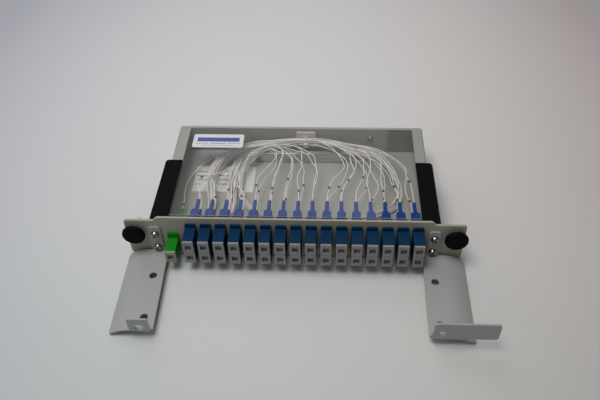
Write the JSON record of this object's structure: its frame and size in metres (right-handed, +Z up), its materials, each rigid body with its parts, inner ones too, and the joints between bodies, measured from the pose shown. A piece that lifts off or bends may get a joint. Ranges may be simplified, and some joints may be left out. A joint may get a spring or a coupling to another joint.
{
  "type": "plc fibre splitter",
  "caption": "Rack drawer fibre splitter: front panel with upright duplex adapters, folded tray under a clear cover, splitter module, looped fibres, cable brackets and push-pull latches.",
  "frame": {"origin": "bottom centre of the whole unit's box, on the surface it stands on", "axes": "+X right along the front panel seen from the front, +Y into the tray, +Z up"},
  "size_m": [0.3028, 0.2216, 0.0456],
  "materials": {
    "panel_powder": "fine powder coat, satin",
    "tray_powder": "fine powder coat, satin",
    "clear_sheet": "clear acrylic sheet",
    "label_paper": "matt film",
    "black_plastic": "matt black",
    "zinc_steel": "zinc plated",
    "natural_plastic": "natural nylon",
    "blue_plastic": "semi-gloss blue",
    "green_plastic": "semi-gloss green",
    "grey_plastic": "soft grey",
    "blue_connector": "semi-gloss blue",
    "blue_boot": "soft blue",
    "ceramic": "polished zirconia",
    "module_metal": "satin anodised",
    "foam_tape": "foam tape",
    "boot_rubber": "matt rubber",
    "white_plastic": "white nylon",
    "fibre_white": "smooth jacket",
    "marker_plastic": "printed sleeve"
  },
  "bodies": {
    "drawer": {"front_panel": "panel_powder", "tray": "tray_powder", "clear_cover": "clear_sheet", "cover_label": "label_paper", "floor_label": "label_paper", "left_slide_guide": "black_plastic", "right_slide_guide": "black_plastic", "left_bracket_flange": "tray_powder", "right_bracket_flange": "tray_powder", "left_bracket_plate": "tray_powder", "right_bracket_plate": "tray_powder", "left_bracket_tab": "tray_powder", "right_bracket_tab": "tray_powder", "bracket_screws": "zinc_steel", "bracket_washers_nuts": "zinc_steel", "rear_wall_screws_nuts": "zinc_steel", "left_latch_grommet": "natural_plastic", "right_latch_grommet": "natural_plastic", "blue_adapter_01": "blue_plastic", "blue_adapter_02": "blue_plastic", "blue_adapter_03": "blue_plastic", "blue_adapter_04": "blue_plastic", "blue_adapter_05": "blue_plastic", "blue_adapter_06": "blue_plastic", "blue_adapter_07": "blue_plastic", "blue_adapter_08": "blue_plastic", "blue_adapter_09": "blue_plastic", "blue_adapter_10": "blue_plastic", "blue_adapter_11": "blue_plastic", "blue_adapter_12": "blue_plastic", "blue_adapter_13": "blue_plastic", "blue_adapter_14": "blue_plastic", "blue_adapter_15": "blue_plastic", "blue_adapter_16": "blue_plastic", "green_adapter": "green_plastic", "dust_plugs_upper": "grey_plastic", "dust_plugs_lower": "grey_plastic", "green_dust_plug": "grey_plastic", "rear_connectors_upper": "blue_connector", "rear_connectors_lower": "blue_connector", "green_rear_connector": "green_plastic", "boots_upper": "blue_boot", "boots_lower": "blue_boot", "green_boot": "green_plastic", "ferrules": "ceramic", "alignment_sleeves": "ceramic", "splitter_module": "module_metal", "module_tape": "foam_tape", "module_fanout_boot": "boot_rubber", "module_input_boot": "boot_rubber", "tie_base": "white_plastic", "cable_tie": "white_plastic", "fibres_left_upper": "fibre_white", "fibres_left_lower": "fibre_white", "fibres_right_upper": "fibre_white", "fibres_right_lower": "fibre_white", "input_fibre": "fibre_white", "fibre_markers": "marker_plastic"},
    "left_latch": {"left_latch_plunger": "black_plastic"},
    "right_latch": {"right_latch_plunger": "black_plastic"}
  },
  "joints": [
    {"name": "left_latch_pull", "type": "slide", "parent": "drawer", "child": "left_latch", "axis": [0, -1, 0], "range_m": [0, 0.005]},
    {"name": "right_latch_pull", "type": "slide", "parent": "drawer", "child": "right_latch", "axis": [0, -1, 0], "range_m": [0, 0.005]}
  ]
}
